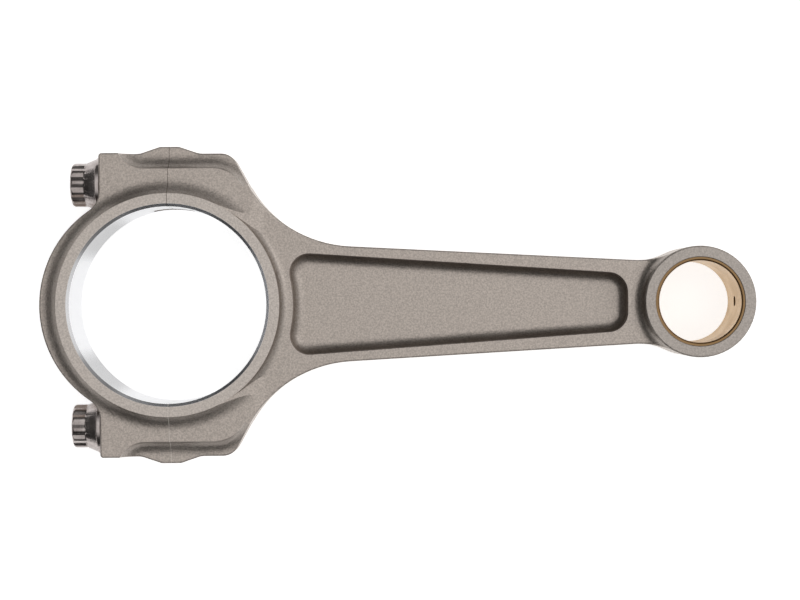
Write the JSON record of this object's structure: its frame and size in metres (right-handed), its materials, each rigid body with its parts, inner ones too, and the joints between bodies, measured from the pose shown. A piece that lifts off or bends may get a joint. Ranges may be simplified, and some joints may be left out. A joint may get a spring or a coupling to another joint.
{
  "type": "connecting rod",
  "caption": "Forged I-beam connecting rod with a bolted cap, coned-flange cap bolts and a bronze small-end bush.",
  "frame": {"origin": "centre of the big end's bore, half way between the two thrust faces", "axes": "+Z along both bores, +X from the crankpin's axis to the piston pin's axis, the cap at -X"},
  "size_m": [0.2056, 0.0916, 0.0238],
  "materials": {
    "forged_steel": "satin, shot-peened forging with machined thrust faces",
    "bolt_steel": "dark polished",
    "dowel_steel": "ground",
    "bronze": "honed bore"
  },
  "bodies": {
    "rod": {"rod_body": "forged_steel", "small_end_bush": "bronze", "dowel_sleeve_left": "dowel_steel", "dowel_sleeve_right": "dowel_steel"},
    "cap": {"rod_cap": "forged_steel"},
    "left_bolt": {"bolt_left": "bolt_steel"},
    "right_bolt": {"bolt_right": "bolt_steel"}
  },
  "joints": [
    {"name": "cap_draw", "type": "slide", "parent": "rod", "child": "cap", "axis": [-1, 0, 0], "range_m": [0, 0.02413]},
    {"name": "left_bolt_turn", "type": "hinge", "parent": "cap", "child": "left_bolt", "pos_m": [-0.0199, 0.03516, 0], "axis": [-1, 0, 0], "range_deg": [0, 6841]},
    {"name": "right_bolt_turn", "type": "hinge", "parent": "cap", "child": "right_bolt", "pos_m": [-0.0199, -0.03516, 0], "axis": [-1, 0, 0], "range_deg": [0, 6841]}
  ],
  "couplings": [
    {"joint": "left_bolt_turn", "follows": "cap_draw", "rad_per_m": 4947.4},
    {"joint": "right_bolt_turn", "follows": "cap_draw", "rad_per_m": 4947.4}
  ]
}
